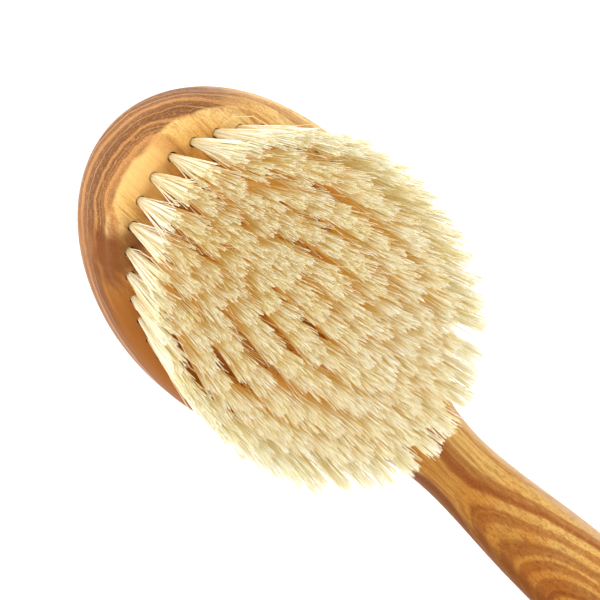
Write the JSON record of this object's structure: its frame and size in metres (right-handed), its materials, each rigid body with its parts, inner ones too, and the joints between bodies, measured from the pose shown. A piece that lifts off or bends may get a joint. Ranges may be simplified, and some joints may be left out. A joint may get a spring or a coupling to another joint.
{
  "type": "body dry brush",
  "caption": "Dry brush for the body: an oval wooden head with drilled tufts of stiff plant fibre, and a handle that curves up to a flared grip with a hanging hole.",
  "frame": {"origin": "on the flat of the head's back, below the middle of the head's oval", "axes": "+X along the handle from the head, +Y across the head, +Z the way the bristles stand"},
  "size_m": [0.27, 0.0838, 0.0448],
  "materials": {
    "olive_wood": "satin",
    "plant_fibre": "matte",
    "wire": "satin"
  },
  "bodies": {
    "root": {"brush_body": "olive_wood", "tufts_middle_row": "plant_fibre", "tufts_row_1_left": "plant_fibre", "tufts_row_1_right": "plant_fibre", "tufts_row_2_left": "plant_fibre", "tufts_row_2_right": "plant_fibre", "tufts_row_3_left": "plant_fibre", "tufts_row_3_right": "plant_fibre", "tufts_row_4_left": "plant_fibre", "tufts_row_4_right": "plant_fibre", "tufts_row_5_left": "plant_fibre", "tufts_row_5_right": "plant_fibre", "anchors_middle_row": "wire", "anchors_row_1_left": "wire", "anchors_row_1_right": "wire", "anchors_row_2_left": "wire", "anchors_row_2_right": "wire", "anchors_row_3_left": "wire", "anchors_row_3_right": "wire", "anchors_row_4_left": "wire", "anchors_row_4_right": "wire", "anchors_row_5_left": "wire", "anchors_row_5_right": "wire"}
  },
  "joints": []
}
